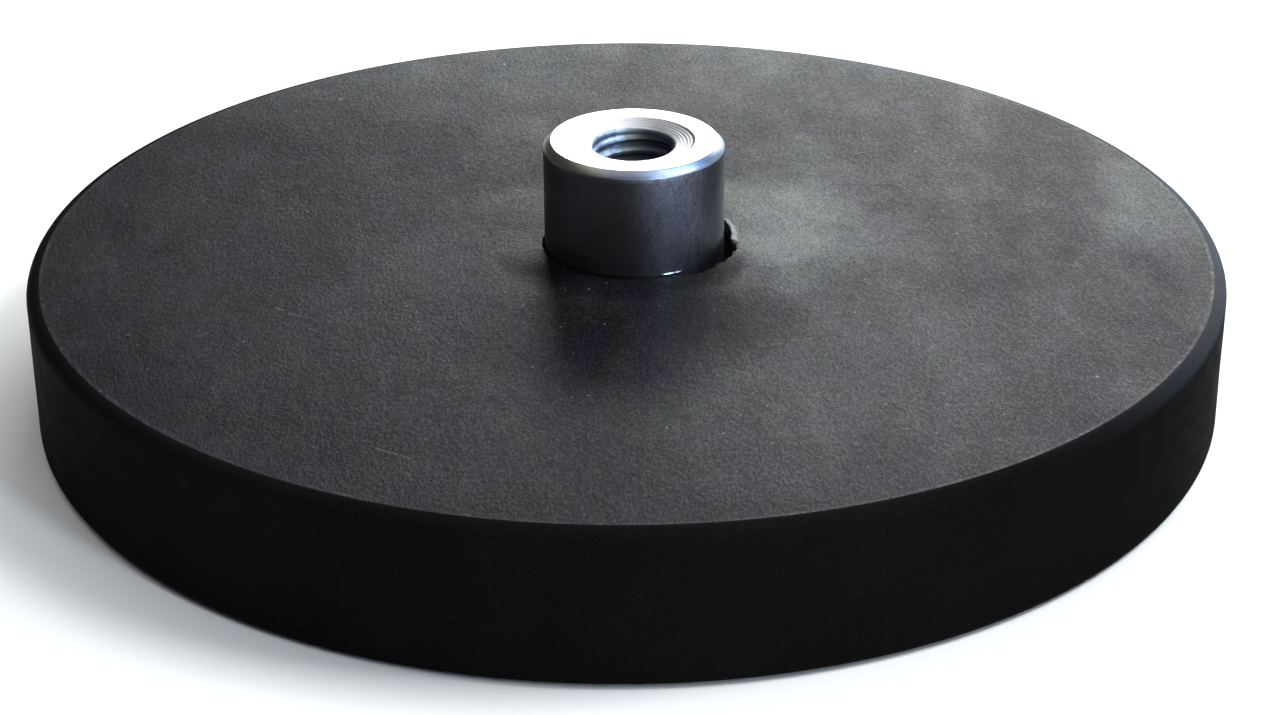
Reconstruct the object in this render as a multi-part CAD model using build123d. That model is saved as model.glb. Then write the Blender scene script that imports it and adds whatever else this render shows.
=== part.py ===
from build123d import *
import os
from math import cos, pi, radians, sin

# Rubber covered pot magnet with a threaded bush.
# Frame: origin at the middle of the contact face, +Z up along the axis of the bush. Millimetres.

# ---- driving dimensions -------------------------------------------------------------------------
COVER_D = 66.0          # outside diameter of the rubber
COVER_H = 8.5           # height of the rubber, contact face to top face
TOP_EDGE_R = 0.7        # rounding of the top edge
BOTTOM_EDGE_R = 0.8     # rounding of the edge of the contact face
SKIN_BELOW = 1.0        # rubber under the magnets

MAGNET_D = 12.0
MAGNET_T = 3.0
MAGNET_COUNT = 10
MAGNET_PCD = 46.0       # pitch circle of the magnets

PLATE_D = 62.0
PLATE_T = 2.5
PLATE_EDGE_CHAMFER = 0.3
PLATE_HOLE_D = 7.0      # seat of the spigot of the bush
RIVET_SINK_D = 9.0      # countersink under the plate that the swaged end of the bush fills

BUSH_D = 10.0
BUSH_TOP_Z = 14.6       # overall height of the magnet
BUSH_CHAMFER = 0.38     # outside edge of the bush, at 45 degrees
DISH_D = 6.8            # shallow turned dish round the mouth of the thread
DISH_DEPTH = 0.3
THREAD_D = 5.0          # M5
TAP_DRILL_D = 4.2
TAP_DEPTH_Z = 7.0       # where the full bore ends; the drill point goes on below it
DRILL_POINT_ANGLE = 118.0

OPENING_DEPTH = 1.2     # the rubber stands clear of the bush from the top face down to here
LIP_H = 0.20            # height of the turned-up lip beside the torn notch

# Outline of the opening in the rubber round the bush: (angle from +X in degrees, radius in mm).
# It is close on the -X side and torn into a notch with a step on the +X side.
OPENING = [
    (-180, 5.13), (-165, 5.14), (-150, 5.15), (-135, 5.16), (-120, 5.17), (-105, 5.17), (-92, 5.16),
    (-80, 5.15), (-70, 5.17), (-62, 5.26), (-57, 5.44), (-53, 5.56), (-49, 5.60), (-44, 5.57),
    (-40, 5.60), (-36, 5.49), (-32.5, 5.54), (-29, 5.68), (-24, 5.70), (-18, 5.72), (-12, 5.75),
    (-6.5, 5.73), (-4, 5.62), (-2.5, 5.36), (2, 5.41), (7, 5.46), (13, 5.54), (20, 5.61),
    (27, 5.65), (34, 5.64), (43, 5.55), (54, 5.43), (68, 5.33), (84, 5.26), (100, 5.21),
    (118, 5.18), (136, 5.15), (152, 5.14), (166, 5.13),
]
LIP_FROM_DEG = -3.0     # the lip runs round the notch from here ...
LIP_TO_DEG = 42.0       # ... to here
LIP_CREST_R = 5.72      # radius of its crest
LIP_FOOT_R = 6.02       # radius where its outer slope meets the top face

# ---- heights that follow from them --------------------------------------------------------------
MAGNET_Z = SKIN_BELOW
PLATE_Z = MAGNET_Z + MAGNET_T
PLATE_TOP_Z = PLATE_Z + PLATE_T
BUSH_R = BUSH_D / 2
LOW = (Align.CENTER, Align.CENTER, Align.MIN)


def cyl(d, z0, z1):
    """Plain cylinder of diameter d on the axis, between two heights."""
    return Pos(0, 0, z0) * Cylinder(d / 2, z1 - z0, align=LOW)


def turned(points):
    """Solid turned about Z from the (radius, height) points of its half section."""
    section = make_face(Polyline(*[(r, 0, z) for r, z in points], close=True))
    return revolve(section, Axis.Z)


# ---- bush: one turned piece, its lower end swaged into the plate --------------------------------
sink_depth = (RIVET_SINK_D - PLATE_HOLE_D) / 2
bush = turned([
    (0, PLATE_Z),
    (RIVET_SINK_D / 2, PLATE_Z),
    (PLATE_HOLE_D / 2, PLATE_Z + sink_depth),
    (PLATE_HOLE_D / 2, PLATE_TOP_Z),
    (BUSH_R, PLATE_TOP_Z),
    (BUSH_R, BUSH_TOP_Z - BUSH_CHAMFER),
    (BUSH_R - BUSH_CHAMFER, BUSH_TOP_Z),
    (0, BUSH_TOP_Z),
])
mouth_z = BUSH_TOP_Z - DISH_DEPTH
lead_in = (THREAD_D - TAP_DRILL_D) / 2
point_h = (TAP_DRILL_D / 2) / (sin(radians(DRILL_POINT_ANGLE / 2)) / cos(radians(DRILL_POINT_ANGLE / 2)))
bore = turned([
    (0, TAP_DEPTH_Z - point_h),
    (TAP_DRILL_D / 2, TAP_DEPTH_Z),
    (TAP_DRILL_D / 2, mouth_z - lead_in),
    (THREAD_D / 2, mouth_z),
    (DISH_D / 2, BUSH_TOP_Z),
    (DISH_D / 2, BUSH_TOP_Z + 1),
    (0, BUSH_TOP_Z + 1),
])
threaded_bush = bush - bore

# ---- steel plate --------------------------------------------------------------------------------
plate_blank = cyl(PLATE_D, PLATE_Z, PLATE_TOP_Z)
plate_blank = chamfer(plate_blank.edges().group_by(Axis.Z)[-1], PLATE_EDGE_CHAMFER)
plate_hole = turned([
    (0, PLATE_Z - 1),
    (RIVET_SINK_D / 2, PLATE_Z - 1),
    (RIVET_SINK_D / 2, PLATE_Z),
    (PLATE_HOLE_D / 2, PLATE_Z + sink_depth),
    (PLATE_HOLE_D / 2, PLATE_TOP_Z + 1),
    (0, PLATE_TOP_Z + 1),
])
steel_base_plate = plate_blank - plate_hole

# ---- magnets, stuck by their own pull to the underside of the plate -----------------------------
magnets = []
for i in range(MAGNET_COUNT):
    a = 2 * pi * (i + 0.5) / MAGNET_COUNT
    magnets.append(
        Pos(MAGNET_PCD / 2 * cos(a), MAGNET_PCD / 2 * sin(a), MAGNET_Z)
        * Cylinder(MAGNET_D / 2, MAGNET_T, align=LOW)
    )

# ---- rubber cover, moulded round all of it ------------------------------------------------------
cover = cyl(COVER_D, 0, COVER_H)
cover = fillet(cover.edges().group_by(Axis.Z)[-1], TOP_EDGE_R)
cover = fillet(cover.edges().group_by(Axis.Z)[0], BOTTOM_EDGE_R)

# turned-up lip on the rim of the opening, from the step of the tear round its back
lip_section = make_face(Polyline(
    (5.20, 0, COVER_H - 0.30),
    (5.20, 0, COVER_H + LIP_H * 0.70),
    (LIP_CREST_R, 0, COVER_H + LIP_H),
    (LIP_FOOT_R, 0, COVER_H),
    (LIP_FOOT_R, 0, COVER_H - 0.30),
    close=True,
))
lip = Rot(0, 0, LIP_FROM_DEG) * revolve(lip_section, Axis.Z, LIP_TO_DEG - LIP_FROM_DEG)
cover = cover + lip

# opening round the bush: a close fit below, the wider outline with the torn notch above
cover = cover - cyl(BUSH_D, PLATE_TOP_Z, COVER_H + 1)
outline = [(r * cos(radians(a)), r * sin(radians(a)), COVER_H - OPENING_DEPTH) for a, r in OPENING]
cover = cover - extrude(make_face(Polyline(*outline, close=True)), OPENING_DEPTH + 1, dir=(0, 0, 1))

# the cavity is exactly what it is moulded round
cover = cover - plate_blank
for m in magnets:
    cover = cover - m
rubber_cover = cover

# ---- output -------------------------------------------------------------------------------------
nodes = {
    "rubber_cover": rubber_cover,
    "threaded_bush": threaded_bush,
    "steel_base_plate": steel_base_plate,
}
for i, m in enumerate(magnets):
    nodes[f"magnet_{i + 1:02d}"] = m

os.makedirs("parts", exist_ok=True)
for name, shape in nodes.items():
    solid = shape.solids()[0] if len(shape.solids()) == 1 else shape
    solid.label = name
    export_step(solid, f"parts/{name}.step")
    print(name, len(shape.solids()), "solid", round(shape.volume, 1), "mm3")
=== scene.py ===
import math

import bpy
import numpy as np
from mathutils import Matrix, Vector
from mathutils.geometry import delaunay_2d_cdt


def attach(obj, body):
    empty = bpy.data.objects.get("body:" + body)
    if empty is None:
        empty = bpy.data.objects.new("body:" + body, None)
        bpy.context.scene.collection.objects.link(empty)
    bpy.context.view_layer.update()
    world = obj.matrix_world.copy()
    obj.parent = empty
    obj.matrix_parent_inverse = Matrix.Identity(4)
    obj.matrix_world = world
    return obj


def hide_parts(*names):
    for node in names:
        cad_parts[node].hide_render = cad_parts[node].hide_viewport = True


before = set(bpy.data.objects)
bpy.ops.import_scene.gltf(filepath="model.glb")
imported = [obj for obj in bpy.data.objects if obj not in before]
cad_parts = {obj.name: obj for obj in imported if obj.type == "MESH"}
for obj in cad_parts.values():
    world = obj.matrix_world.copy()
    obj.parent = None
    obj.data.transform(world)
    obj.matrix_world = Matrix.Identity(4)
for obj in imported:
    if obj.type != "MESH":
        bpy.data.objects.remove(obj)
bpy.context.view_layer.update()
MM = 0.001

# ------------------------------------------------------------------ sizes, as in the CAD source (mm)
COVER_R, COVER_H, TOP_R, BOTTOM_R = 33.0, 8.5, 0.7, 0.8
PLATE_R, PLATE_Z, PLATE_TOP, PLATE_CH = 31.0, 4.0, 6.5, 0.3
MAG_R, MAG_T, MAG_Z, MAG_N, MAG_PCR = 6.0, 3.0, 1.0, 10, 23.0
BUSH_R, BUSH_TOP, BUSH_CH = 5.0, 14.6, 0.38
DISH_R, DISH_DEPTH, THREAD_R, DRILL_R, TAP_Z, PITCH = 3.4, 0.30, 2.5, 2.1, 7.0, 0.8
MOUTH_R = 2.37
SPIGOT_R, SINK_R = 3.5, 4.5
OPEN_DEPTH = 1.2
OPENING = [
    (-180, 5.13), (-165, 5.14), (-150, 5.15), (-135, 5.16), (-120, 5.17), (-105, 5.17), (-92, 5.16),
    (-80, 5.15), (-70, 5.17), (-62, 5.26), (-57, 5.44), (-53, 5.56), (-49, 5.60), (-44, 5.57),
    (-40, 5.60), (-36, 5.49), (-32.5, 5.54), (-29, 5.68), (-24, 5.70), (-18, 5.72), (-12, 5.75),
    (-6.5, 5.73), (-4, 5.62), (-2.5, 5.36), (2, 5.41), (7, 5.46), (13, 5.54), (20, 5.61),
    (27, 5.65), (34, 5.64), (43, 5.55), (54, 5.43), (68, 5.33), (84, 5.26), (100, 5.21),
    (118, 5.18), (136, 5.15), (152, 5.14), (166, 5.13), (180, 5.13),
]


# ------------------------------------------------------------------ small numeric helpers
def smooth(a, b, x):
    t = np.clip((np.asarray(x, float) - a) / (b - a), 0, 1)
    return t * t * (3 - 2 * t)


def wave(seed, n, lo, hi):
    """A smooth periodic wobble of the angle: n random harmonics between lo and hi, about one unit high."""
    rng = np.random.default_rng(seed)
    k = rng.integers(lo, hi + 1, n)
    a = rng.normal(size=n) / math.sqrt(n / 2)
    p = rng.uniform(0, 2 * math.pi, n)

    def f(theta):
        return sum(ai * np.cos(ki * theta + pi) for ai, ki, pi in zip(a, k, p))

    return f


def field(seed, n, wavelength):
    """A smooth wobble of the plane: n random plane waves of about that wavelength in mm, about one unit high."""
    rng = np.random.default_rng(seed)
    d = rng.uniform(0, 2 * math.pi, n)
    k = 2 * math.pi / (wavelength * rng.uniform(0.7, 1.5, n))
    a = rng.normal(size=n) / math.sqrt(n / 2)
    p = rng.uniform(0, 2 * math.pi, n)

    def f(x, y):
        return sum(ai * np.cos(ki * (x * math.cos(di) + y * math.sin(di)) + pi) for ai, ki, di, pi in zip(a, k, d, p))

    return f


def mesh_object(name, verts, faces, smooth_faces=True):
    me = bpy.data.meshes.new(name)
    me.from_pydata([tuple(v) for v in verts], [], [tuple(f) for f in faces])
    me.validate()
    me.update()
    if smooth_faces:
        me.polygons.foreach_set("use_smooth", [True] * len(me.polygons))
    ob = bpy.data.objects.new(name, me)
    bpy.context.scene.collection.objects.link(ob)
    return ob


def sweep_rings(rings):
    """Quads between rings, each an (n, 3) array in mm; returns verts and faces (closed round the axis)."""
    n = len(rings[0])
    verts = np.concatenate(rings)
    faces = []
    for i in range(len(rings) - 1):
        a, b = i * n, (i + 1) * n
        for j in range(n):
            k = (j + 1) % n
            faces.append((a + j, a + k, b + k, b + j))
    return verts, faces


# ------------------------------------------------------------------ rubber casing
# Angles are closer together round the tear, so that its ragged edge has real points.
theta = np.concatenate([
    np.radians(np.linspace(-64, 48, 300, endpoint=False)),
    np.radians(np.linspace(48, 296, 312, endpoint=False)),
])
deg = (np.degrees(theta) + 180) % 360 - 180
cos_t, sin_t = np.cos(theta), np.sin(theta)
table = np.array(OPENING)
r_open = np.interp(deg, table[:, 0], table[:, 1])
torn = smooth(-60, -50, deg) * (1 - smooth(38, 48, deg))
front_tear = smooth(-58, -50, deg) * (1 - smooth(-4, -2.6, deg))
ragged = torn * (1 - 0.80 * smooth(-3.0, 0.0, deg))
r_open = r_open + wave(3, 10, 30, 75)(theta) * (0.006 + 0.018 * ragged) + wave(4, 12, 90, 230)(theta) * (0.002 + 0.012 * ragged)
lip = smooth(-3.4, -2.4, deg) * (1 - smooth(22, 46, deg))
lip_h = lip * (0.200 + 0.014 * wave(5, 8, 12, 36)(theta) + 0.004 * wave(6, 8, 60, 120)(theta))
lip_h = np.clip(lip_h, 0, 0.25)
lip_w = 0.34 + 0.05 * wave(7, 6, 10, 40)(theta) + 0.10 * (1 - smooth(-3, 6, deg)) * lip
bead = 0.006 * (1 - lip) * (1 + 0.5 * wave(8, 6, 8, 30)(theta)) * (1 - 0.6 * front_tear)   # faint raised rim elsewhere
undulate = field(11, 14, 16.0)
undulate_small = field(12, 20, 4.5)


def ring(r, z):
    r = np.broadcast_to(np.asarray(r, float), theta.shape)
    z = np.broadcast_to(np.asarray(z, float), theta.shape)
    return np.stack([r * cos_t, r * sin_t, z], 1)


def top_z(r):
    """The top face: nearly flat, with the slight waviness of moulded rubber, none at its outer edge."""
    x, y = r * cos_t, r * sin_t
    fade = (1 - smooth(28, 32, r)) * smooth(5.5, 7.5, r)
    return COVER_H - (0.012 + 0.009 * undulate(x, y) + 0.003 * undulate_small(x, y)) * fade


rings = []
# up from the cavity: the close fit round the bush, the ledge at the foot of the opening, its wall, the lip
rings.append(ring(BUSH_R + 0.002, PLATE_TOP))
rings.append(ring(BUSH_R + 0.002, COVER_H - OPEN_DEPTH - 0.05))
ledge = COVER_H - OPEN_DEPTH + front_tear * (0.25 + 0.12 * wave(21, 8, 12, 40)(theta))
rings.append(ring(BUSH_R + 0.004, ledge - 0.03))
rings.append(ring(BUSH_R + (r_open - BUSH_R) * 0.35, ledge + front_tear * 0.10 * wave(22, 8, 20, 60)(theta)))
rings.append(ring(BUSH_R + (r_open - BUSH_R) * 0.72, ledge + 0.03 + front_tear * 0.10 * wave(23, 8, 20, 60)(theta)))
wall = [(0.96, 0.10), (1.0, 0.25), (1.0, 0.5), (1.0, 0.72), (1.0, 0.86), (1.0, 0.94)]
for share, up in wall:
    rough_r = 0.02 * ragged * wave(30 + int(up * 100), 10, 30, 120)(theta)
    rings.append(ring(BUSH_R + (r_open - BUSH_R) * share + rough_r * (1 - abs(2 * up - 1)), ledge + (COVER_H + lip_h * 0.55 - ledge) * up))
for f, g in ((0.02, 0.80), (0.06, 0.93), (0.12, 1.0), (0.22, 1.0), (0.36, 0.90), (0.52, 0.68), (0.70, 0.38), (0.86, 0.13), (1.0, 0.0)):
    rr = r_open + f * (lip_w + 0.10)
    rings.append(ring(rr, COVER_H + lip_h * g + bead * g - (1 - lip) * 0.035 * (1 - smooth(0.0, 0.3, f))))
r_last = r_open + lip_w + 0.10
for f in (0.12, 0.28, 0.48, 0.72, 1.0):
    rr = r_last + (7.2 - r_last) * f
    rings.append(ring(rr, top_z(rr)))
for rr in np.linspace(7.2, 31.2, 44)[1:]:
    rings.append(ring(rr, top_z(np.full_like(theta, rr))))
# outer top edge: a flat run, then the rounding, with the faintest wobble of the parting line
edge_wob = wave(41, 8, 5, 24)(theta) * 0.006
for rr in (31.6, 31.95, 32.15):
    rings.append(ring(rr, COVER_H))
for a in np.linspace(0, 90, 13):
    t = math.radians(a)
    rings.append(ring(COVER_R - TOP_R + TOP_R * math.sin(t) + np.minimum(edge_wob, 0) * math.sin(t), COVER_H - TOP_R + TOP_R * math.cos(t)))
side_rings = np.linspace(COVER_H - TOP_R, BOTTOM_R, 14)[1:-1]
side_wob = field(43, 16, 9.0)
for z in side_rings:
    w = 0.006 * side_wob(theta * COVER_R, np.full_like(theta, z * 2)) * math.sin(math.pi * (z - BOTTOM_R) / (COVER_H - TOP_R - BOTTOM_R))
    rings.append(ring(COVER_R - 0.004 + np.minimum(w, 0.003) + np.minimum(edge_wob, 0), z))
for a in np.linspace(0, 90, 11):
    t = math.radians(a)
    rings.append(ring(COVER_R - BOTTOM_R + BOTTOM_R * math.cos(t) + np.minimum(edge_wob, 0) * math.cos(t), BOTTOM_R - BOTTOM_R * math.sin(t)))
for rr in (31.0, 26.0, 20.0, 14.0, 8.0, 3.0, 0.6):
    rings.append(ring(rr, 0.0))
verts, faces = sweep_rings(rings)
n = len(theta)
first, last = 0, (len(rings) - 1) * n
verts = [tuple(v) for v in verts]
faces = [tuple(reversed(f)) for f in faces]
# centre of the contact face
verts.append((0.0, 0.0, 0.0))
c = len(verts) - 1
for j in range(n):
    faces.append((last + j, c, last + (j + 1) % n))
# cavity roof and rim, down from the bush seat: the plate's top face, chamfer and edge
cav = [
    ring(12.0, PLATE_TOP), ring(22.0, PLATE_TOP), ring(PLATE_R - PLATE_CH, PLATE_TOP),
    ring(PLATE_R, PLATE_TOP - PLATE_CH), ring(PLATE_R, PLATE_Z),
]
prev = first
for rg in cav:
    start = len(verts)
    verts += [tuple(v) for v in rg]
    for j in range(n):
        k = (j + 1) % n
        faces.append((prev + j, prev + k, start + k, start + j))
    prev = start
# cavity floor with the ten magnet pockets
rim = prev
outer_ids = [rim + j for j in range(n)]
pts = [Vector((verts[i][0], verts[i][1])) for i in outer_ids]
edges = [(j, (j + 1) % n) for j in range(n)]
SEG = 72
pocket_start = []
for m in range(MAG_N):
    a = 2 * math.pi * (m + 0.5) / MAG_N
    cx, cy = MAG_PCR * math.cos(a), MAG_PCR * math.sin(a)
    s = len(pts)
    pocket_start.append((s, cx, cy))
    for q in range(SEG):
        b = 2 * math.pi * q / SEG
        pts.append(Vector((cx + MAG_R * math.cos(b), cy + MAG_R * math.sin(b))))
        edges.append((s + q, s + (q + 1) % SEG))
out_v, _, out_f, orig_v, _, _ = delaunay_2d_cdt(pts, edges, [], 1, 1e-9)
ids = {}
for i, o in enumerate(orig_v):
    if o and o[0] < n:
        ids[i] = outer_ids[o[0]]
    else:
        ids[i] = len(verts)
        verts.append((out_v[i][0], out_v[i][1], PLATE_Z))
back = {}
for i, o in enumerate(orig_v):
    for k in o:
        back[k] = ids[i]
for f in out_f:
    g = sum((out_v[i] for i in f), Vector((0, 0))) / 3
    if any((g - Vector((cx, cy))).length < MAG_R * 0.999 for _, cx, cy in pocket_start):
        continue
    a, b, d = (out_v[i] for i in f)
    up = (b - a).cross(d - a) > 0
    f = [ids[i] for i in f]
    faces.append(tuple(f) if up else tuple(reversed(f)))
for s, cx, cy in pocket_start:
    low = len(verts)
    for q in range(SEG):
        b = 2 * math.pi * q / SEG
        verts.append((cx + MAG_R * math.cos(b), cy + MAG_R * math.sin(b), MAG_Z))
    verts.append((cx, cy, MAG_Z))
    for q in range(SEG):
        q2 = (q + 1) % SEG
        faces.append((back[s + q], back[s + q2], low + q2, low + q))
        faces.append((low + q, low + q2, low + SEG))
casing = mesh_object("rubber_casing", np.array(verts) * MM, faces)

# ------------------------------------------------------------------ threaded bush
NB = 240
tb = np.linspace(0, 2 * math.pi, NB, endpoint=False)
cb, sb = np.cos(tb), np.sin(tb)


def bring(r, z):
    r = np.broadcast_to(np.asarray(r, float), tb.shape)
    z = np.broadcast_to(np.asarray(z, float), tb.shape)
    return np.stack([r * cb, r * sb, z], 1)


lo_z, hi_z = TAP_Z, BUSH_TOP - DISH_DEPTH
brings = [bring(SINK_R, PLATE_Z), bring(SPIGOT_R, PLATE_Z + 1.0), bring(SPIGOT_R, PLATE_TOP), bring(BUSH_R - 0.02, PLATE_TOP), bring(BUSH_R, PLATE_TOP + 0.02)]
burr = smooth(-74.0, -71.0, np.degrees(np.arctan2(sb, cb))) * (1 - smooth(-60.5, -58.5, np.degrees(np.arctan2(sb, cb))))
burr = burr * (1 + 0.25 * wave(61, 6, 30, 90)(tb))
side_z = np.unique(np.concatenate([np.linspace(PLATE_TOP + 0.3, BUSH_TOP - BUSH_CH - 0.03, 30), np.linspace(8.40, 8.74, 15)]))
for z in side_z:
    crest = max(0.0, 1 - abs(z - 8.55) / 0.060)
    brings.append(bring(BUSH_R - 0.0015 + 0.0015 * np.sin(z * 17.0) + 0.042 * crest * burr, z))
ch_wob = 0.010 * wave(51, 8, 3, 14)(tb)
brings.append(bring(BUSH_R - 0.004, BUSH_TOP - BUSH_CH + ch_wob))
brings.append(bring(BUSH_R - 0.020, BUSH_TOP - BUSH_CH + 0.03 + ch_wob))
brings.append(bring(BUSH_R - BUSH_CH + 0.03, BUSH_TOP - 0.035 + ch_wob * 0.5))
brings.append(bring(BUSH_R - BUSH_CH - 0.015 + ch_wob * 0.3, BUSH_TOP - 0.006))
# faced ring, then the shallow dish with its turning grooves
for rr in np.linspace(BUSH_R - BUSH_CH - 0.06, DISH_R + 0.05, 12):
    brings.append(bring(rr, BUSH_TOP - 0.0015 + 0.0015 * math.sin(rr * 60.0)))
mouth = MOUTH_R - 0.03 + 0.12 * sb ** 2 - 0.07 * cb           # the mouth is a little oval and off centre
grooves = np.linspace(DISH_R, MOUTH_R + 0.05, 60)
groove_rng = np.random.default_rng(77)
groove_z = np.interp(grooves[::-1], np.linspace(MOUTH_R, DISH_R, 13), groove_rng.uniform(0.2, 1.0, 13))[::-1]
for i, rr in enumerate(grooves):
    t = (DISH_R - rr) / (DISH_R - MOUTH_R)
    z = BUSH_TOP - DISH_DEPTH * (0.08 * min(1, t * 8) + 0.92 * t)
    z -= 0.008 * groove_z[i] * (0.5 + 0.5 * math.cos(rr * 2 * math.pi / 0.17)) * smooth(0, 0.1, t) * (1 - smooth(0.90, 1, t))
    blend_in = smooth(0.35, 1.0, t)
    brings.append(bring(rr + (mouth - MOUTH_R) * blend_in, float(z)))
brings.append(bring(mouth, hi_z - 0.012))
for inward, down in ((0.035, 0.040), (0.085, 0.085), (0.120, 0.140), (0.135, 0.200)):
    brings.append(bring(mouth - inward, hi_z - down))
# the thread: radius as a function of height and angle, so that the crests run as one helix
zs = np.linspace(hi_z - 0.24, lo_z, 190)
for z in zs:
    ph = ((z / PITCH) + tb / (2 * math.pi)) % 1.0
    tri = 1 - np.abs(2 * ph - 1)                      # 0 at the root side, 1 at the crest
    depth = np.clip((tri - 0.14) / 0.66, 0, 1)
    rr = THREAD_R - 0.02 - (THREAD_R - 0.02 - (DRILL_R + 0.04)) * depth
    rr = rr + (DRILL_R + 0.02 - rr) * (1 - smooth(lo_z + 0.5, lo_z + 1.3, z))
    start = smooth(0.24, 0.70, hi_z - z)              # the first turn runs out into the plain mouth
    rr = (mouth - 0.14) * (1 - start) + rr * start
    brings.append(bring(rr, z))
point = DRILL_R / math.tan(math.radians(59))
for s in (0.8, 0.5, 0.2):
    brings.append(bring(DRILL_R * s, lo_z - point * (1 - s)))
bverts, bfaces = sweep_rings(brings)
bverts = [tuple(v) for v in bverts]
bverts.append((0, 0, lo_z - point)); tip = len(bverts) - 1
bverts.append((0, 0, PLATE_Z)); foot = len(bverts) - 1
lastb = (len(brings) - 1) * NB
for j in range(NB):
    k = (j + 1) % NB
    bfaces.append((lastb + j, lastb + k, tip))
    bfaces.append((k, j, foot))
bush = mesh_object("plated_bush", np.array(bverts) * MM, bfaces)
# edges of the turned faces stay crisp
for ob, angle in ((bush, 28), (casing, 50)):
    ob.data.set_sharp_from_angle(angle=math.radians(angle))

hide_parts("rubber_cover")
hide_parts("threaded_bush")
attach(casing, "root")
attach(bush, "root")

# ------------------------------------------------------------------ materials
class Nodes:
    """A material's node tree, built with short calls. Sockets may be given as numbers, tuples or other sockets."""

    def __init__(self, name):
        self.mat = bpy.data.materials.new(name)
        self.mat.use_nodes = True
        self.t = self.mat.node_tree
        self.t.nodes.clear()
        self.out = self.t.nodes.new("ShaderNodeOutputMaterial")
        self.bsdf = self.t.nodes.new("ShaderNodeBsdfPrincipled")
        self.t.links.new(self.bsdf.outputs[0], self.out.inputs[0])
        co = self.t.nodes.new("ShaderNodeTexCoord").outputs["Object"]
        self.co = self.vec("SCALE", co, scale=1000.0)      # millimetres
        sep = self.t.nodes.new("ShaderNodeSeparateXYZ")
        self.t.links.new(self.co, sep.inputs[0])
        self.x, self.y, self.z = sep.outputs
        self.r = self.math("SQRT", self.math("ADD", self.math("MULTIPLY", self.x, self.x), self.math("MULTIPLY", self.y, self.y)))

    def put(self, socket, value):
        if isinstance(value, bpy.types.NodeSocket):
            self.t.links.new(value, socket)
        elif isinstance(value, (tuple, list)) and len(value) == 3 and socket.type == "RGBA":
            socket.default_value = (*value, 1.0)
        else:
            socket.default_value = value

    def math(self, op, a, b=None, c=None, clamp=False):
        nd = self.t.nodes.new("ShaderNodeMath")
        nd.operation, nd.use_clamp = op, clamp
        for s, v in zip(nd.inputs, (a, b, c)):
            if v is not None:
                self.put(s, v)
        return nd.outputs[0]

    def vec(self, op, a, b=None, scale=None):
        nd = self.t.nodes.new("ShaderNodeVectorMath")
        nd.operation = op
        self.put(nd.inputs[0], a)
        if b is not None:
            self.put(nd.inputs[1], b)
        if scale is not None:
            self.put(nd.inputs["Scale"], scale)
        return nd.outputs["Value"] if op in ("LENGTH", "DISTANCE", "DOT_PRODUCT") else nd.outputs[0]

    def noise(self, scale, detail=2.0, rough=0.5, dist=0.0, at=None, offset=None):
        nd = self.t.nodes.new("ShaderNodeTexNoise")
        v = self.co if at is None else at
        if offset is not None:
            v = self.vec("ADD", v, offset)
        self.put(nd.inputs["Vector"], v)
        self.put(nd.inputs["Scale"], scale)
        self.put(nd.inputs["Detail"], detail)
        self.put(nd.inputs["Roughness"], rough)
        self.put(nd.inputs["Distortion"], dist)
        return nd.outputs[0]

    def noise_colour(self, scale, detail=2.0, rough=0.5):
        nd = self.t.nodes.new("ShaderNodeTexNoise")
        self.put(nd.inputs["Vector"], self.co)
        self.put(nd.inputs["Scale"], scale)
        self.put(nd.inputs["Detail"], detail)
        self.put(nd.inputs["Roughness"], rough)
        return nd.outputs[1]

    def voronoi(self, scale, feature="F1", at=None, randomness=1.0):
        nd = self.t.nodes.new("ShaderNodeTexVoronoi")
        nd.feature = feature
        self.put(nd.inputs["Vector"], self.co if at is None else at)
        self.put(nd.inputs["Scale"], scale)
        self.put(nd.inputs["Randomness"], randomness)
        return nd

    def ramp(self, x, a, b, lo=0.0, hi=1.0, kind="SMOOTHSTEP"):
        nd = self.t.nodes.new("ShaderNodeMapRange")
        nd.interpolation_type = kind
        for k, v in (("Value", x), ("From Min", a), ("From Max", b), ("To Min", lo), ("To Max", hi)):
            self.put(nd.inputs[k], v)
        return nd.outputs[0]

    def mix(self, f, a, b, mode="MIX"):
        nd = self.t.nodes.new("ShaderNodeMix")
        nd.data_type, nd.blend_type, nd.clamp_factor = "RGBA", mode, True
        self.put(nd.inputs[0], f)
        self.put(nd.inputs[6], a)
        self.put(nd.inputs[7], b)
        return nd.outputs[2]

    def bump(self, height, distance, strength=1.0, normal=None):
        nd = self.t.nodes.new("ShaderNodeBump")
        self.put(nd.inputs["Strength"], strength)
        self.put(nd.inputs["Distance"], distance * MM)
        self.put(nd.inputs["Height"], height)
        if normal is not None:
            self.put(nd.inputs["Normal"], normal)
        return nd.outputs[0]

    def stroke(self, p, q, width):
        """1 on a thin straight mark from p to q (mm, on the top face), 0 off it."""
        pa = self.vec("SUBTRACT", self.co, (p[0], p[1], COVER_H))
        d = Vector((q[0] - p[0], q[1] - p[1], 0))
        h = self.math("DIVIDE", self.vec("DOT_PRODUCT", pa, tuple(d)), d.length_squared, clamp=True)
        off = self.vec("SUBTRACT", pa, self.vec("SCALE", tuple(d), scale=h))
        return self.ramp(self.vec("LENGTH", off), width * 0.4, width, 1.0, 0.0)


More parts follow.
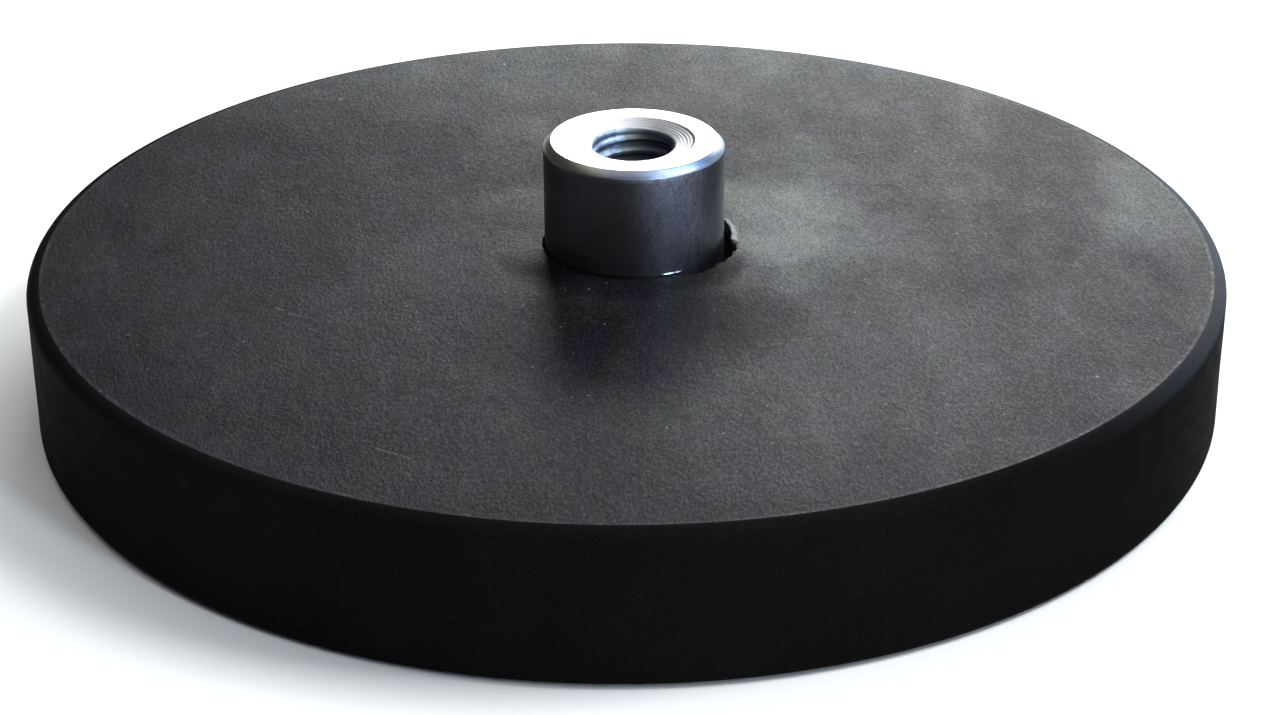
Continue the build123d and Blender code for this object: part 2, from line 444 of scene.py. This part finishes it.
def rubber_top_material():
    """The top face: black compound with a fine grain, a pale bloom of dust and painted light in soft clouds, a painted
    shadow round the front of the bush, painted highlights on the torn lip and the edge, specks, lint and scratches.
    """
    m = Nodes("moulded_rubber_top")
    long_y = m.vec("MULTIPLY", m.co, (1.0, 0.45, 1.0))
    fine = m.noise(7.5, 1.5, 0.6, at=long_y)
    finer = m.noise(15.0, 1.0, 0.5, at=long_y, offset=(13.0, 5.0, 3.0))
    mid = m.noise(2.6, 3.0, 0.6, offset=(7.0, 3.0, 1.0))
    cloud = m.noise(0.095, 5.0, 0.66, 0.4, at=long_y, offset=(31.0, 12.0, 5.0))
    patch = m.noise(0.26, 4.0, 0.66, at=long_y, offset=(3.0, 44.0, 9.0))
    streak = m.noise(0.30, 3.0, 0.6, 0.3, at=m.vec("MULTIPLY", m.co, (0.85, 0.80, 1.0)), offset=(17.0, 8.0, 1.0))
    hue = m.noise(0.45, 2.0, 0.5, at=long_y, offset=(91.0, 17.0, 2.0))
    grain = m.math("ADD", m.math("MULTIPLY", fine, 0.62), m.math("MULTIPLY", finer, 0.38))

    # bluish towards the front, with mottles from violet-blue to olive
    tone = m.math("ADD", m.ramp(hue, 0.38, 0.62), m.ramp(m.y, -22.0, 16.0, -0.25, 0.25, "LINEAR"), clamp=True)
    dark = m.mix(tone, (0.0040, 0.0037, 0.0058), (0.0033, 0.0035, 0.0025))
    light = m.mix(tone, (0.0140, 0.0132, 0.0230), (0.0135, 0.0148, 0.0112))
    base = m.mix(m.ramp(grain, 0.42, 0.70), dark, light)
    # dust: broad clouds; then listed soft patches, partly dust and partly painted light: a painted reflection of light
    # off the bush onto the rubber beside it, a heavier patch near the right-hand edge, a painted sheen brightening
    # towards the back, and brighter and darker patches elsewhere
    amount = m.math("ADD", m.ramp(cloud, 0.40, 0.76, 0.0, 0.07), m.ramp(patch, 0.44, 0.70, 0.0, 0.055))
    amount = m.math("ADD", amount, m.ramp(streak, 0.52, 0.74, 0.0, 0.04))
    wob = m.vec("SCALE", m.vec("SUBTRACT", m.noise_colour(0.16, 3.0, 0.6), (0.5, 0.5, 0.5)), scale=9.0)
    at = m.vec("ADD", m.co, wob)
    dust_and_painted_light = m.ramp(m.y, 16.0, 32.0, 0.0, 0.34, "LINEAR")
    for x, y, stretch, inner, outer, weight in (
        (8.2, 4.2, 0.85, 0.8, 6.2, 0.80), (12.4, 0.6, 1.0, 0.8, 6.0, 0.34), (12.0, 17.5, 1.2, 1.5, 10.5, 0.08), (9.2, -3.6, 1.0, 0.5, 5.0, 0.34), (7.0, -0.8, 1.0, 0.5, 3.6, 0.50),
        (-10.0, -2.5, 1.0, 1.0, 6.5, 0.10), (16.0, 29.0, 1.0, 1.0, 6.0, 0.16), (0.5, 28.0, 1.0, 1.5, 6.5, -0.13), (18.0, 0.0, 0.9, 1.5, 8.5, -0.13),
        (-16.5, -11.5, 1.0, 1.0, 10.5, 0.050), (24.0, -16.5, 1.0, 1.0, 8.0, -0.045), (15.0, 20.0, 1.0, 1.0, 6.0, -0.06), (9.6, 11.0, 1.0, 1.5, 8.0, 0.17),
        (30.8, 4.9, 0.60, 0.8, 6.0, 0.37), (-6.2, 5.4, 1.0, 0.5, 4.4, 0.24), (12.0, -13.0, 1.0, 2.0, 13.0, 0.13),
        (2.0, -23.0, 1.4, 2.0, 13.0, 0.09),
    ):
        away = m.vec("MULTIPLY", m.vec("SUBTRACT", at, (x, y, COVER_H)), (1.0, stretch, 0.0))
        dust_and_painted_light = m.math("ADD", dust_and_painted_light, m.ramp(m.vec("LENGTH", away), inner, outer, weight, 0.0))
    dust_and_painted_light = m.math("MULTIPLY", dust_and_painted_light, m.ramp(m.math("ADD", m.math("MULTIPLY", streak, 0.6), m.math("MULTIPLY", patch, 0.4)), 0.34, 0.66, 0.72, 1.28))
    amount = m.math("MULTIPLY", m.math("ADD", amount, dust_and_painted_light), m.ramp(grain, 0.34, 0.66, 0.66, 1.34))
    base = m.mix(amount, base, m.mix(tone, (0.114, 0.116, 0.130), (0.118, 0.124, 0.116)))

    # painted shadow of the bush: darker round its front, reaching further out at the right
    near = m.vec("ADD", m.co, m.vec("SCALE", wob, scale=0.10))
    reach = m.vec("LENGTH", m.vec("MULTIPLY", near, (1.0, 1.0, 0.0)))
    reach = m.math("ADD", reach, m.ramp(m.x, 5.3, 6.5, 0.0, 1.5))
    painted_shadow = m.math("MULTIPLY", m.ramp(reach, 6.4, 8.8, 0.96, 0.0), m.ramp(m.y, -4.2, -0.6, 1.0, 0.0))
    painted_shadow = m.math("MULTIPLY", painted_shadow, m.ramp(m.math("ABSOLUTE", m.x), 2.2, 5.0, 0.42, 1.0))
    shadow_front_right = m.vec("MULTIPLY", m.vec("SUBTRACT", near, (4.9, -10.4, COVER_H)), (1 / 5.2, 1 / 6.6, 0.0))
    painted_shadow = m.math("MAXIMUM", painted_shadow, m.ramp(m.vec("LENGTH", shadow_front_right), 0.25, 1.0, 0.66, 0.0))
    base = m.mix(painted_shadow, base, (0.0010, 0.0010, 0.0012))

    # pale dust specks, scratches and lint
    speck = None
    for scale, lo, hi, share, strength in ((0.50, 0.026, 0.056, 0.72, 0.80), (1.35, 0.045, 0.105, 0.62, 0.30)):
        vor = m.voronoi(scale, at=m.vec("MULTIPLY", m.co, (1.0, 0.7, 1.0)))
        cell = m.t.nodes.new("ShaderNodeSeparateColor")
        m.t.links.new(vor.outputs["Color"], cell.inputs[0])
        size = m.ramp(cell.outputs[1], 0.0, 1.0, lo, hi, "LINEAR")
        dot = m.ramp(m.math("SUBTRACT", vor.outputs["Distance"], size), -0.012, 0.012, 1.0, 0.0)
        dot = m.math("MULTIPLY", dot, m.ramp(cell.outputs[0], share, share + 0.04))
        dot = m.math("MULTIPLY", dot, m.ramp(cell.outputs[2], 0.0, 1.0, 0.20 * strength, strength, "LINEAR"))
        dot = m.math("MULTIPLY", dot, m.ramp(dust_and_painted_light, 0.0, 0.5, 0.8, 1.25, "LINEAR"))
        speck = dot if speck is None else m.math("MAXIMUM", speck, dot)
    base = m.mix(speck, base, (0.40, 0.40, 0.39))
    marks = None
    for p, q, w in (
        ((-18.9, -8.6), (-18.0, -9.5), 0.07), ((-18.0, -9.5), (-16.9, -9.9), 0.06), ((-16.9, -11.2), (-16.3, -11.7), 0.07),
        ((-23.2, -12.4), (-21.6, -11.4), 0.05), ((-12.4, -24.6), (-9.9, -26.1), 0.05), ((12.0, 12.4), (16.5, 14.2), 0.05),
        ((18.6, -10.2), (21.0, -12.6), 0.04), ((-6.0, 17.0), (-3.2, 18.1), 0.05), ((5.3, -14.0), (9.4, -12.6), 0.035),
        ((-27.0, 8.0), (-24.1, 11.4), 0.045), ((23.2, 6.1), (24.0, 8.0), 0.06),
    ):
        s = m.stroke(p, q, w * 1.5)
        marks = s if marks is None else m.math("MAXIMUM", marks, s)
    marks = m.math("MULTIPLY", marks, m.ramp(m.noise(1.7, 1.0), 0.42, 0.58))
    base = m.mix(m.math("MULTIPLY", marks, 0.30), base, (0.15, 0.15, 0.146))

    # the edge of the top face: a thin broken pale line, partly rubbed wear and partly a painted highlight, painted
    # brighter towards the right
    edge_wear_and_highlight = m.math("MULTIPLY", m.ramp(m.r, 32.02, 32.18), m.ramp(m.r, 32.24, 32.33, 1.0, 0.0))
    broken = m.math("MULTIPLY", m.ramp(m.noise(0.35, 3.0, 0.6), 0.42, 0.62), m.ramp(m.noise(3.2, 2.0, 0.6, offset=(2.0, 6.0, 0.0)), 0.40, 0.66))
    edge_wear_and_highlight = m.math("MULTIPLY", edge_wear_and_highlight, m.math("ADD", m.math("MULTIPLY", broken, 0.55), 0.10))
    highlight_right_share = m.ramp(m.x, -14.0, 24.0, 0.25, 0.75)
    base = m.mix(m.math("MULTIPLY", edge_wear_and_highlight, highlight_right_share), base, (0.150, 0.158, 0.170))
    # the turned-up lip of the tear: a painted highlight, paler where its edge faces the light
    lip_highlight = m.math("MULTIPLY", m.ramp(m.z, COVER_H + 0.03, COVER_H + 0.09), m.ramp(m.r, 6.6, 6.9, 1.0, 0.0))
    base = m.mix(m.math("MULTIPLY", lip_highlight, m.ramp(fine, 0.35, 0.65, 0.70, 1.0)), base, (0.215, 0.215, 0.205))

    m.put(m.bsdf.inputs["Base Color"], base)
    rough = m.math("ADD", 0.50, m.math("MULTIPLY", m.math("SUBTRACT", patch, 0.5), 0.36))
    rough = m.math("ADD", rough, m.math("MULTIPLY", m.math("SUBTRACT", grain, 0.5), -0.38))
    rough = m.math("ADD", rough, m.math("MULTIPLY", painted_shadow, 0.16))
    m.put(m.bsdf.inputs["Roughness"], rough)
    m.bsdf.inputs["Specular IOR Level"].default_value = 0.045
    h = m.math("ADD", grain, m.math("MULTIPLY", mid, 0.5))
    h = m.math("ADD", h, m.math("MULTIPLY", speck, 0.3))
    n1 = m.bump(h, 0.040, 0.75)
    n2 = m.bump(m.math("ADD", patch, m.math("MULTIPLY", hue, 0.35)), 0.16, 0.5, n1)
    m.put(m.bsdf.inputs["Normal"], n2)
    return m.mat


def rubber_side_material():
    """The moulded side wall, underside and the torn inside of the opening: the same compound, matt and clean, with
    painted shade towards the right end and a painted sheen along the top rounding.
    """
    m = Nodes("moulded_rubber_side")
    fine = m.noise(8.0, 2.0, 0.6)
    flow = m.noise(0.5, 3.0, 0.6, at=m.vec("MULTIPLY", m.co, (1.0, 1.0, 2.5)))
    band = m.noise(0.12, 2.0, 0.5)
    c = m.mix(m.ramp(band, 0.35, 0.65), (0.0046, 0.0046, 0.0048), (0.0058, 0.0058, 0.0060))
    c = m.mix(m.ramp(fine, 0.45, 0.70, 0.0, 0.7), c, (0.0092, 0.0092, 0.0096))
    c = m.mix(m.ramp(flow, 0.58, 0.75, 0.0, 0.30), c, (0.0110, 0.0110, 0.0112))
    # painted shade: the side wall darker towards its right end
    c = m.mix(m.ramp(m.x, 10.0, 31.0, 0.0, 0.58), c, (0.0010, 0.0010, 0.0010))
    # painted sheen: a pale band on the top rounding, stronger towards the back and the right
    rim_sheen = m.math("MULTIPLY", m.ramp(m.z, COVER_H - 0.78, COVER_H - 0.30), m.ramp(m.y, -27.0, 4.0, 0.0, 0.95))
    rim_sheen = m.math("MULTIPLY", rim_sheen, m.ramp(m.x, -4.0, 12.0))
    c = m.mix(m.math("MULTIPLY", rim_sheen, m.ramp(fine, 0.35, 0.65, 0.80, 1.0)), c, (0.073, 0.081, 0.098))
    # torn rubber inside the opening: brownish lumps
    deep = m.ramp(m.r, 6.4, 6.6, 1.0, 0.0)
    lump = m.ramp(m.noise(2.2, 3.0, 0.6), 0.42, 0.62)
    c = m.mix(m.math("MULTIPLY", deep, lump), c, (0.022, 0.015, 0.012))
    m.put(m.bsdf.inputs["Base Color"], c)
    m.put(m.bsdf.inputs["Roughness"], m.ramp(flow, 0.3, 0.7, 0.50, 0.62))
    m.bsdf.inputs["Specular IOR Level"].default_value = 0.003
    h = m.math("ADD", m.math("MULTIPLY", fine, 0.6), m.math("MULTIPLY", flow, 0.7))
    m.put(m.bsdf.inputs["Normal"], m.bump(h, 0.030, 0.5))
    return m.mat


def bush_material():
    m = Nodes("zinc_plated_steel")
    nrm = m.t.nodes.new("ShaderNodeNewGeometry").outputs["Normal"]
    sep = m.t.nodes.new("ShaderNodeSeparateXYZ")
    m.t.links.new(nrm, sep.inputs[0])
    face = m.ramp(m.z, BUSH_TOP - 0.012, BUSH_TOP - 0.004)                       # the faced ring
    dish = m.math("MULTIPLY", m.ramp(m.r, DISH_R, DISH_R + 0.03, 1.0, 0.0), m.ramp(m.z, BUSH_TOP - DISH_DEPTH - 0.02, BUSH_TOP - DISH_DEPTH + 0.01))
    chamf = m.math("MULTIPLY", m.ramp(m.z, BUSH_TOP - BUSH_CH - 0.01, BUSH_TOP - BUSH_CH + 0.03), m.ramp(m.r, BUSH_R - BUSH_CH - 0.05, BUSH_R - BUSH_CH))
    inside = m.math("MULTIPLY", m.ramp(m.r, MOUTH_R + 0.14, MOUTH_R + 0.16, 1.0, 0.0), m.ramp(m.z, BUSH_TOP - DISH_DEPTH - 0.03, BUSH_TOP - DISH_DEPTH - 0.01, 1.0, 0.0))

    def facing(phi):
        """Cosine of the angle round the axis from a direction in degrees."""
        c, s_ = math.cos(math.radians(phi)), math.sin(math.radians(phi))
        along = m.math("ADD", m.math("MULTIPLY", m.x, c), m.math("MULTIPLY", m.y, s_))
        return m.math("DIVIDE", along, m.math("MAXIMUM", m.r, 0.01))

    # turning marks: rings on the top, fine lines round the side
    ring_co = m.t.nodes.new("ShaderNodeCombineXYZ")
    m.put(ring_co.inputs[0], m.r)
    m.put(ring_co.inputs[2], m.z)
    rings = m.noise(9.0, 4.0, 0.7, at=ring_co.outputs[0])
    lines = m.noise(12.0, 2.0, 0.6, at=ring_co.outputs[0], offset=(4.0, 2.0, 8.0))
    stretched = m.vec("MULTIPLY", m.co, (1.0, 1.0, 0.35))
    blot = m.noise(2.4, 4.0, 0.65, at=stretched)
    fine = m.noise(9.0, 2.0, 0.6, offset=(5.0, 1.0, 2.0))
    tint = m.noise(0.55, 2.0, 0.5, offset=(21.0, 9.0, 4.0))

    # faced ring and dish
    plate = m.mix(m.ramp(tint, 0.35, 0.65), (0.70, 0.70, 0.735), (0.735, 0.735, 0.69))
    plate = m.mix(m.ramp(rings, 0.35, 0.70, 0.0, 0.35), plate, (0.82, 0.82, 0.80))
    groove = m.ramp(m.math("SINE", m.math("MULTIPLY", m.r, 2 * math.pi / 0.17)), -0.6, 0.9)
    # painted shade: the dish greyer with its groove lines at the back right, paler elsewhere
    dish_shade_back_right = m.ramp(m.math("ADD", facing(26.0), m.math("MULTIPLY", m.math("SUBTRACT", tint, 0.5), 0.5)), 0.05, 0.95)
    grey = m.mix(m.math("MULTIPLY", groove, m.ramp(rings, 0.35, 0.65, 0.35, 1.0)), (0.42, 0.42, 0.44), (0.21, 0.21, 0.22))
    dished = m.mix(dish_shade_back_right, (0.80, 0.79, 0.86), grey)
    plate = m.mix(dish, plate, dished)
    # side wall: bluish zinc, left bright at the front right and the back; painted shade darkens the right side and, as
    # a dark film, the front left, lighter low down and darkest near the top
    wall = m.mix(m.ramp(tint, 0.35, 0.65), (0.50, 0.575, 0.86), (0.60, 0.625, 0.84))
    wall = m.mix(m.ramp(blot, 0.42, 0.66, 0.0, 0.70), wall, (0.25, 0.30, 0.44))
    wall = m.mix(m.ramp(fine, 0.48, 0.66, 0.0, 0.80), wall, (0.88, 0.93, 1.0))
    painted_shade_right = m.ramp(m.math("ADD", facing(8.0), m.math("MULTIPLY", m.math("SUBTRACT", blot, 0.5), 0.30)), 0.38, 0.80)
    wall = m.mix(m.math("MULTIPLY", painted_shade_right, 0.90), wall, (0.165, 0.200, 0.232))
    painted_shade_left = m.ramp(m.math("ADD", facing(-164.0), m.math("MULTIPLY", m.math("SUBTRACT", blot, 0.5), 0.25)), -0.10, 0.42)
    shade_left_colour = m.mix(m.ramp(m.z, 8.8, 11.6, 1.0, 0.0), (0.170, 0.163, 0.156), (0.38, 0.37, 0.365))
    shade_left_colour = m.mix(m.ramp(m.z, 11.8, 14.3), shade_left_colour, (0.072, 0.069, 0.066))
    wall = m.mix(m.math("MULTIPLY", painted_shade_left, 0.90), wall, shade_left_colour)
    # chamfer: painted reflections round it: a deep blue band at the front right, grey-lavender at the front, dull olive
    # at the front left, bright elsewhere
    edge = m.mix(m.ramp(blot, 0.35, 0.65), (0.19, 0.25, 0.40), (0.26, 0.32, 0.46))
    chamfer_blue_reflection = m.ramp(m.math("ADD", facing(-48.0), m.math("MULTIPLY", m.math("SUBTRACT", blot, 0.5), 0.10)), 0.91, 0.975)
    chamfer_blue_reflection = m.math("MULTIPLY", chamfer_blue_reflection, m.ramp(m.z, BUSH_TOP - BUSH_CH + 0.10, BUSH_TOP - BUSH_CH + 0.20))
    edge = m.mix(m.math("MULTIPLY", chamfer_blue_reflection, 0.85), edge, (0.085, 0.155, 0.31))
    chamfer_olive_reflection = m.ramp(m.math("ADD", facing(-150.0), m.math("MULTIPLY", m.math("SUBTRACT", blot, 0.5), 0.20)), 0.70, 0.90)
    chamfer_grey_reflection = m.ramp(m.math("ADD", facing(-112.0), m.math("MULTIPLY", m.math("SUBTRACT", blot, 0.5), 0.20)), 0.84, 0.97)
    edge = m.mix(m.math("MULTIPLY", chamfer_grey_reflection, 0.80), edge, (0.21, 0.205, 0.235))
    edge = m.mix(m.math("MULTIPLY", chamfer_olive_reflection, 0.90), edge, (0.36, 0.365, 0.27))
    colour = m.mix(m.math("MAXIMUM", face, dish), wall, plate)
    colour = m.mix(m.math("MULTIPLY", chamf, m.math("SUBTRACT", 1.0, face)), colour, edge)
    # bore: painted light and shade: a steel-blue painted highlight on the left, painted shade nearly black on the right
    # and darker further down
    bore_painted_light = m.mix(m.ramp(blot, 0.40, 0.65), (0.34, 0.45, 0.64), (0.17, 0.23, 0.31))
    bore_painted_light = m.mix(m.ramp(m.x, -1.2, 0.1), bore_painted_light, (0.24, 0.26, 0.24))
    bore_painted_light = m.mix(m.ramp(m.x, -0.2, 1.0), bore_painted_light, (0.105, 0.105, 0.125))
    bore_painted_light = m.mix(m.ramp(m.z, BUSH_TOP - 2.4, BUSH_TOP - 1.0, 0.90, 0.0), bore_painted_light, (0.16, 0.17, 0.19))
    colour = m.mix(inside, colour, bore_painted_light)
    # bright burr at the foot: a metal burr, coloured paler as a painted glint
    burr_glint = m.math("MULTIPLY", m.ramp(m.r, BUSH_R + 0.006, BUSH_R + 0.02), m.ramp(m.z, 8.3, 8.4))
    colour = m.mix(burr_glint, colour, (0.62, 0.66, 0.74))
    m.put(m.bsdf.inputs["Base Color"], colour)
    m.bsdf.inputs["Metallic"].default_value = 1.0
    top_or_ch = m.math("MAXIMUM", m.math("MAXIMUM", face, dish), chamf)
    r_side = m.math("ADD", 0.30, m.math("MULTIPLY", m.math("SUBTRACT", blot, 0.5), 0.10))
    r_top = m.math("ADD", 0.24, m.math("MULTIPLY", m.math("SUBTRACT", rings, 0.5), 0.20))
    rough = m.math("ADD", m.math("MULTIPLY", r_top, top_or_ch), m.math("MULTIPLY", r_side, m.math("SUBTRACT", 1.0, top_or_ch)))
    rough = m.math("ADD", rough, m.math("MULTIPLY", dish, 0.16))
    rough = m.math("ADD", rough, m.math("MULTIPLY", m.math("MULTIPLY", chamf, m.math("SUBTRACT", 1.0, face)), 0.12))
    rough = m.math("ADD", rough, m.math("MULTIPLY", inside, 0.28))
    m.put(m.bsdf.inputs["Roughness"], rough)
    h_top = m.math("MULTIPLY", rings, face)
    h_side = m.math("MULTIPLY", m.math("ADD", m.math("MULTIPLY", lines, 0.5), m.math("MULTIPLY", fine, 0.6)), m.math("SUBTRACT", 1.0, top_or_ch))
    n1 = m.bump(m.math("ADD", h_top, h_side), 0.014, 0.8)
    m.put(m.bsdf.inputs["Normal"], n1)
    return m.mat


def steel_material():
    m = Nodes("rolled_steel_plate")
    grain = m.noise(1.2, 4.0, 0.6, at=m.vec("MULTIPLY", m.co, (0.25, 4.0, 4.0)))
    scale = m.noise(0.35, 3.0, 0.6)
    c = m.mix(m.ramp(grain, 0.3, 0.7), (0.36, 0.36, 0.37), (0.50, 0.50, 0.50))
    c = m.mix(m.ramp(scale, 0.55, 0.75, 0.0, 0.5), c, (0.24, 0.235, 0.23))
    m.put(m.bsdf.inputs["Base Color"], c)
    m.bsdf.inputs["Metallic"].default_value = 1.0
    m.put(m.bsdf.inputs["Roughness"], m.ramp(scale, 0.3, 0.7, 0.34, 0.52))
    m.put(m.bsdf.inputs["Normal"], m.bump(grain, 0.01, 0.4))
    return m.mat


def magnet_material():
    m = Nodes("nickel_plated_magnet")
    orange = m.noise(3.2, 2.0, 0.5)
    stain = m.noise(0.5, 3.0, 0.6)
    c = m.mix(m.ramp(stain, 0.35, 0.7), (0.68, 0.66, 0.61), (0.60, 0.57, 0.51))
    m.put(m.bsdf.inputs["Base Color"], c)
    m.bsdf.inputs["Metallic"].default_value = 1.0
    m.put(m.bsdf.inputs["Roughness"], m.ramp(orange, 0.3, 0.7, 0.14, 0.26))
    m.put(m.bsdf.inputs["Normal"], m.bump(orange, 0.006, 0.4))
    return m.mat


def floor_material():
    m = Nodes("pale_floor")
    s = m.noise(0.02, 2.0, 0.5)
    m.put(m.bsdf.inputs["Base Color"], m.mix(m.ramp(s, 0.3, 0.7), (0.925, 0.925, 0.925), (0.935, 0.935, 0.935)))
    m.bsdf.inputs["Roughness"].default_value = 0.9
    m.bsdf.inputs["Specular IOR Level"].default_value = 0.1
    return m.mat


def wear(ob, mat):
    ob.data.materials.clear()
    ob.data.materials.append(mat)


wear(casing, rubber_top_material())
casing.data.materials.append(rubber_side_material())
for p in casing.data.polygons:
    cx, cy, cz = p.center
    on_top = cz > (COVER_H - 0.06) * MM and math.hypot(cx, cy) < 32.32 * MM and p.normal.z > 0.3
    p.material_index = 0 if on_top else 1
wear(bush, bush_material())
steel, nickel = steel_material(), magnet_material()
for name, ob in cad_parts.items():
    if name == "steel_base_plate":
        for s in range(max(1, len(ob.material_slots))):
            if ob.material_slots:
                ob.material_slots[s].material = steel
    elif name.startswith("magnet_"):
        for s in range(len(ob.material_slots)):
            ob.material_slots[s].material = nickel

# ------------------------------------------------------------------ floor, light and camera
fl = bpy.data.meshes.new("floor")
ring_n = 96
fv = [(6.0 * math.cos(2 * math.pi * i / ring_n), 6.0 * math.sin(2 * math.pi * i / ring_n), 0.0) for i in range(ring_n)]
fl.from_pydata(fv, [], [tuple(range(ring_n))])
floor = bpy.data.objects.new("floor", fl)
bpy.context.scene.collection.objects.link(floor)
wear(floor, floor_material())


def area(name, at, aim, size, watts, colour=(1, 1, 1)):
    d = bpy.data.lights.new(name, "AREA")
    d.shape, d.size, d.size_y = "RECTANGLE", size[0], size[1]
    d.energy, d.color = watts, colour
    o = bpy.data.objects.new(name, d)
    o.location = at
    o.rotation_mode = "QUATERNION"
    o.rotation_quaternion = (Vector(aim) - Vector(at)).to_track_quat("-Z", "Y")
    o.visible_camera = False
    bpy.context.scene.collection.objects.link(o)
    return o


def panel(name, az, el, watts, colour, size=(0.16, 0.14), far=0.42):
    """A soft panel at an azimuth from +Y towards +X and an elevation, in degrees, aimed at the middle of the part."""
    a, e = math.radians(az), math.radians(el)
    return area(name, (far * math.sin(a) * math.cos(e), far * math.cos(a) * math.cos(e), far * math.sin(e)), (0, 0, 0), size, watts, colour)


area("overhead", (0.0, 0.1, 1.2), (0, 0, 0), (1.6, 1.6), 10.0, (0.97, 0.985, 1.0))
panel("window_left", 4, 18, 0.70, (0.97, 1.0, 1.0))
panel("window_right", 26, 18, 0.78, (0.97, 1.0, 1.0))
panel("window_upper", 28, 32, 0.34, (0.97, 1.0, 1.0))
panel("side_panel", 95, 52, 1.40, (0.96, 0.99, 1.0))
panel("edge_panel", 58, 27, 0.035, (0.86, 0.94, 1.0), (0.10, 0.10))
panel("front_panel", 141, 34, 0.55, (0.74, 0.86, 1.0), (0.05, 0.26))

# a pale room round it: seen behind the part as pale, giving little light of its own
world = bpy.data.worlds.new("studio")
world.use_nodes = True
wt = world.node_tree
wt.nodes["Background"].inputs[0].default_value = (0.88, 0.90, 0.92, 1)
path = wt.nodes.new("ShaderNodeLightPath")
level = wt.nodes.new("ShaderNodeMapRange")
level.inputs["To Min"].default_value = 0.05
level.inputs["To Max"].default_value = 0.98
wt.links.new(path.outputs["Is Camera Ray"], level.inputs["Value"])
wt.links.new(level.outputs[0], wt.nodes["Background"].inputs[1])
bpy.context.scene.world = world

# the camera: where it stands, where it looks, its lens and its shift
EL, DIST, FOCAL = 0.43876, 161.099, 2838.2
LOOK_AZ, LOOK_EL, ROLL, PPX, PPY = -0.07304, 0.01626, 0.02663, 821.6, 357.5
back = Vector((math.sin(LOOK_AZ) * math.cos(EL + LOOK_EL), -math.cos(LOOK_AZ) * math.cos(EL + LOOK_EL), math.sin(EL + LOOK_EL)))
right = Vector((math.cos(LOOK_AZ), math.sin(LOOK_AZ), 0))
upv = back.cross(right)
right2 = math.cos(ROLL) * right + math.sin(ROLL) * upv
up2 = -math.sin(ROLL) * right + math.cos(ROLL) * upv
cam_data = bpy.data.cameras.new("camera")
cam = bpy.data.objects.new("camera", cam_data)
bpy.context.scene.collection.objects.link(cam)
place = Vector((0, -DIST * math.cos(EL), DIST * math.sin(EL) + COVER_H / 2)) * MM
cam.matrix_world = Matrix.Translation(place) @ Matrix((right2, up2, back)).transposed().to_4x4()
cam_data.sensor_fit, cam_data.sensor_width = "HORIZONTAL", 36.0
cam_data.lens = FOCAL / 1264 * 36.0
cam_data.shift_x = (632 - PPX) / 1264
cam_data.shift_y = (PPY - 357.5) / 1264
cam_data.clip_start, cam_data.clip_end = 0.005, 20.0
bpy.context.scene.camera = cam
bpy.context.scene.view_settings.view_transform = "Standard"
